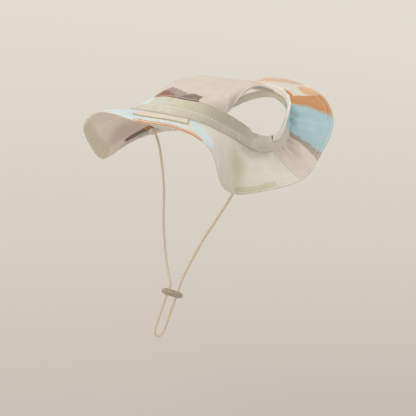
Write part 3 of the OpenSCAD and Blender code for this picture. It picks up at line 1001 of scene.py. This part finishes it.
class HAT_OT_crown(bpy.types.Operator):
    """Make the crown's top, its lining and the facing of its free hem"""

    bl_idname = "hat.crown"
    bl_label = "Crown"

    def execute(self, context):
        ink = colours()
        s = row_values(-0.985, 0.985, 200, 0.2)
        blots = [
            (ink.mauve_wash, (-0.0006, 0.0), (0.0062, 0.62), 1.8, 0.04),
            (ink.rust, (-0.0035, 0.0), (0.0061, 0.6), 1.7, 0.04),
            (ink.mauve, (0.004, 0.02), (0.0019, 0.15), 0.4, 0.07),
            (ink.peach, (0.001, 0.78), (0.0035, 0.05), 0, 0.1),
        ]
        top = cotton(
            ("crown_top", CROWN, s, row_values(0.004, 1.0, 110, 0.2), CROWN_OUT),
            ("printed cotton, crown", ink.blush, blots, (0.0014, 0.06)), ["crown_panel"],
        )
        roll = cotton(
            ("crown_hem_roll", CROWN, row_values(-0.975, 0.975, 200), row_values(0.978, 1.002, 10), (-0.75, 0.78)),
            ("cotton hem", ink.blush), (),
        )
        cut(top)
        inner = cotton(
            ("crown_inside", CROWN, s, row_values(0.004, 0.999, 90, 0.2), CROWN_IN),
            ("cotton lining, crown", ink.inside), ["crown_lining"],
        )
        marks = [(ink.sky, (0.0052, 0.97), (0.0016, 0.3), 0, 0.08), (ink.mauve, (0.0028, 0.97), (0.0008, 0.3), 0, 0.08)]
        facing = cotton(
            ("crown_hem_facing", CROWN, row_values(-0.94, 0.94, 180), row_values(0.955, 0.994, 10), (-1.5, -1.0)),
            ("cotton facing", ink.blush, marks, (0.0005, 0.01)), ["crown_rear_facing"],
        )
        cut(inner)
        return {"FINISHED"}


class HAT_OT_back(bpy.types.Operator):
    """Make the back strip and the gathered band over the elastic"""

    bl_idname = "hat.back"
    bl_label = "Back band"

    def execute(self, context):
        ink = colours()
        a = row_values(WALL_TO + 0.3, 359.7 - WALL_TO, 260)
        marks = [(ink.sky, (1.5, 0.3), (0.14, 0.9), 0, 0.04)]
        strip = cotton(
            ("back_seam_strip", WALL, a, row_values(-0.04, 0.6, 14), (-0.35, 0.3)),
            ("cotton strip, back", ink.casing, marks), ["back_casing_strip"],
        )
        cut(strip)
        round_back = row_values(WALL_TO - 1.5, 361.5 - WALL_TO, 420)
        band = cotton(
            ("gathered_band", BACK, round_back, row_values(0.0, 1.0, 40), (-0.25, 0.25)),
            ("gathered cotton tunnel", ink.band), ["back_band_casing"],
        )
        cut(band)
        elastic = frame["nodes"]["back_elastic"]
        elastic.data.materials.clear()
        elastic.data.materials.append(plain_thread("ribbed elastic", ink.thread))
        return {"FINISHED"}


class HAT_OT_label(bpy.types.Operator):
    """Make the blank label and its piped backing"""

    bl_idname = "hat.label"
    bl_label = "Label"

    def execute(self, context):
        ink = colours()
        # 60 mm long, on a front that curves at 88 mm
        half, middle = math.degrees(60 / 2 / 88), 11.5
        slide = lambda a, v: (a, v - 0.0045 * (a - middle))
        low, high = middle - half, middle + half
        cotton(
            ("label_piping", BRIM, row_values(low, high, 60), row_values(0.15, 0.15 + 11 / 30, 14), (0.95, 1.3)),
            ("woven label edge", ink.label_edge), ["label_backing"], None, slide,
        )
        cotton(
            ("label_face", BRIM, row_values(low + 0.2, high - 0.9, 60), row_values(0.152, 0.47, 14), (1.35, 1.75)),
            ("woven label", ink.label), ["label_patch"], None, slide,
        )
        return {"FINISHED"}


class HAT_OT_tabs(bpy.types.Operator):
    """Make the two cloth tabs that hold the cord's ends"""

    bl_idname = "hat.tabs"
    bl_label = "Cord tabs"

    def execute(self, context):
        ink = colours()
        for name in ("cord_tab_left", "cord_tab_right"):
            low, high = (np.array(c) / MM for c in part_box(name))
            centre, half, square = (low + high) / 2, (high - low) / 2, 0.35
            tt, qq, faces = ball(48, 24)
            x = half[0] * signed(np.sin(qq), square)
            y = half[1] * signed(np.cos(tt), square) * signed(np.cos(qq), square)
            z = half[2] * signed(np.sin(tt), square) * signed(np.cos(qq), square)
            points = (centre + stack(x, y, z)).reshape(-1, 3)
            uv = points[:, 1:] / 100
            tab = put_mesh(name + "_cloth", points, [faces], {"weave": uv, "place": uv})
            close_poles(tab, 0.00001)
            dress(tab, printed_cotton("folded cotton tab", ink.band), "hat", [name])
        return {"FINISHED"}


def edge_line(a, inset, lift):
    """A line on the brim that runs inset mm inside its edge."""
    reach = np.linalg.norm(round_values(EDGE, a), axis=-1)
    return BRIM.at(a, 1 - inset / reach, lift)


class HAT_OT_stitches(bpy.types.Operator):
    """Sew the rows of stitches"""

    bl_idname = "hat.stitches"
    bl_label = "Stitches"

    def execute(self, context):
        size, ink = sizes(), colours()
        turn = np.linspace(-FLAP_FROM + 1, 359 - FLAP_FROM, 1400)
        lines = []
        for inset, over in ((size.seam_row / MM, 0.42), (size.edge_row / MM, 0.5)):
            lines.append(edge_line(turn, inset, over))
            lines.append(edge_line(turn, inset, -0.62))
        wall = np.linspace(1 - WALL_TO, WALL_TO - 1, 900)
        for w in (0.15, 0.46):
            lines.append(WALL.at(*casing_slide(wall, w * np.ones_like(wall)), 1.5 + 0.2 * (w > 0.3)))
        s = np.linspace(-0.95, 0.95, 700)
        for v in (0.955, 0.988):
            lines.append(CROWN.at(s, v * np.ones_like(s), 0.76))
            lines.append(CROWN.at(s, v * np.ones_like(s), -1.42))
        front = np.linspace(-0.96, 0.96, 500)
        lines.append(CROWN.at(front, 0.03 * np.ones_like(front), 0.76))
        points, faces, caps = stitch_points(lines, size.stitch / MM)
        sewn = put_mesh("stitch_rows", points, [faces, caps])
        dress(sewn, plain_thread("sewing thread", ink.thread), "hat")
        brim, piping, face = (bpy.data.objects[name] for name in ("brim_print", "label_piping", "label_face"))
        cut(brim)
        return {"FINISHED"}


# the level way across the floor in which its paper pales
PALER_WAY = (-0.951, 0.309, 0)
# how much of the floor's colour is its own in the picture, the rest taking light and shadow
GLOW = 0.9


def seen_rays(tree):
    """1 where a ray comes from the camera, a glossy surface or a clear one, and 0 elsewhere."""
    rays = add(tree, "LightPath").outputs
    seen = rays["Is Camera Ray"]
    for kind in ("Is Glossy Ray", "Is Transmission Ray"):
        seen = add(tree, "Math", {"operation": "MAXIMUM"}, _0=seen, _1=rays[kind]).outputs[0]
    return seen


class HAT_OT_stage(bpy.types.Operator):
    """Make the floor, the lamps and the world"""

    bl_idname = "hat.stage"
    bl_label = "Stage"

    def execute(self, context):
        ink = colours()
        floor_z = CAD_BOX[0].z - 0.05
        # a disc of 25 m, its rings crowded near the hat
        n, m = 96, 40
        r = 25.0 * (np.linspace(0, 1, m) ** 2.2)[None]
        t = np.linspace(0, 2 * np.pi, n)[:, None]
        points = stack(r * np.cos(t), r * np.sin(t), np.full((n, m), floor_z))
        mesh = bpy.data.meshes.new("floor")
        mesh.from_pydata(points.reshape(-1, 3), [], grid_faces(n, m).tolist())
        floor = bpy.data.objects.new("floor", mesh)
        context.scene.collection.objects.link(floor)
        # painted paper: matt, a little paler far from the hat
        mat = bpy.data.materials.new("painted floor")
        mat.use_nodes = True
        tree = mat.node_tree
        tree.nodes.clear()
        where = add(tree, "TexCoord").outputs["Object"]
        # graded paper: it pales across the floor with one over the distance from a line 1.25 m before the hat
        across = add(tree, "VectorMath", {"operation": "DOT_PRODUCT", 1: PALER_WAY}, _0=where).outputs[1]
        ahead = add(tree, "Math", {"operation": "ADD", 1: 1.25}, _0=across).outputs[0]
        clear = add(tree, "Math", {"operation": "MAXIMUM", 1: 0.3}, _0=ahead).outputs[0]
        share = add(tree, "Math", {"operation": "DIVIDE", 0: 1.0}, _1=clear).outputs[0]
        curve = add(tree, "MapRange", {"From Min": 0.857, "From Max": 0.198}, Value=share).outputs[0]
        near, far = (*ink.floor_near, 1), (*ink.floor_far, 1)
        colour = add(tree, "Mix", {"data_type": "RGBA", 6: near, 7: far}, _0=curve).outputs[2]
        span = add(tree, "VectorMath", {"operation": "LENGTH"}, _0=where)
        reach = {"From Min": 1.9, "From Max": 5.5, "interpolation_type": "SMOOTHSTEP"}
        fade = add(tree, "MapRange", reach, Value=span.outputs[1]).outputs[0]
        colour = add(tree, "Mix", {"data_type": "RGBA", 7: far}, _0=fade, _6=colour).outputs[2]
        matt = add(tree, "BsdfDiffuse", None, Color=colour)
        glow = add(tree, "Emission", {"Strength": 1.0}, Color=colour)
        part = add(tree, "Math", {"operation": "MULTIPLY", 1: GLOW}, _0=seen_rays(tree))
        mix = add(tree, "MixShader", None, _0=part.outputs[0], _1=matt.outputs[0], _2=glow.outputs[0])
        add(tree, "OutputMaterial", None, _0=mix.outputs[0])
        floor.data.materials.append(mat)
        world = bpy.data.worlds.new("studio")
        context.scene.world = world
        world.use_nodes = True
        wt = world.node_tree
        wt.nodes.clear()
        light = add(wt, "Background", {"Color": (1.0, 0.98, 0.95, 1), "Strength": 0.53})
        paper = add(wt, "Background", {"Color": far, "Strength": 1.0})
        mix = add(wt, "MixShader", None, _0=seen_rays(wt), _1=light.outputs[0], _2=paper.outputs[0])
        add(wt, "OutputWorld", None, _0=mix.outputs[0])
        for name, spot, watts, wide, hue in (
            ("key", (-0.7, -1.0, 1.7), 20.0, 0.9, (1.0, 0.98, 0.95)),
            ("fill", (1.6, -0.9, 0.35), 8.0, 1.4, (0.96, 0.98, 1.0)),
            ("low", (-0.5, -1.3, -0.22), 9.0, 0.8, (1.0, 0.97, 0.93)),
            ("rim", (0.4, 1.4, 1.0), 9.0, 1.0, (1.0, 1.0, 1.0)),
        ):
            lamp = bpy.data.lights.new(name, "AREA")
            lamp.energy, lamp.size, lamp.color = watts, wide, hue
            holder = bpy.data.objects.new(name, lamp)
            holder.location = spot
            holder.rotation_euler = (-Vector(spot)).to_track_quat("-Z", "Y").to_euler()
            context.scene.collection.objects.link(holder)
        context.scene.view_settings.view_transform = "Standard"
        return {"FINISHED"}


OPERATORS = (
    HAT_OT_camera, HAT_OT_cord, HAT_OT_brim, HAT_OT_flap, HAT_OT_wall, HAT_OT_crown,
    HAT_OT_back, HAT_OT_label, HAT_OT_tabs, HAT_OT_stitches, HAT_OT_stage,
)


class HAT_PT_panel(bpy.types.Panel):
    """Lists the hat's sizes, dyes and makers"""

    bl_idname = "HAT_PT_panel"
    bl_label = "Sun Hat"
    bl_space_type = "VIEW_3D"
    bl_region_type = "UI"
    bl_category = "Sun Hat"

    def draw(self, context):
        for group in (context.scene.hat_sizes, context.scene.hat_colours):
            box = self.layout.box()
            for key in group.bl_rna.properties.keys():
                if key not in ("rna_type", "name"):
                    box.prop(group, key)
        for maker in OPERATORS:
            self.layout.operator(maker.bl_idname)


CLASSES = (HatSizes, HatColours, *OPERATORS, HAT_PT_panel)


def register():
    """Registers the classes and hangs the properties on the scene."""
    for c in CLASSES:
        bpy.utils.register_class(c)
    bpy.types.Scene.hat_sizes = bpy.props.PointerProperty(type=HatSizes)
    bpy.types.Scene.hat_colours = bpy.props.PointerProperty(type=HatColours)


def unregister():
    """Undoes register."""
    del bpy.types.Scene.hat_sizes
    del bpy.types.Scene.hat_colours
    for c in reversed(CLASSES):
        bpy.utils.unregister_class(c)


def main():
    """Builds everything in order."""
    register()
    for maker in OPERATORS:
        group, name = maker.bl_idname.split(".")
        getattr(getattr(bpy.ops, group), name)()
    bpy.context.view_layer.update()


if __name__ == "__main__":
    main()
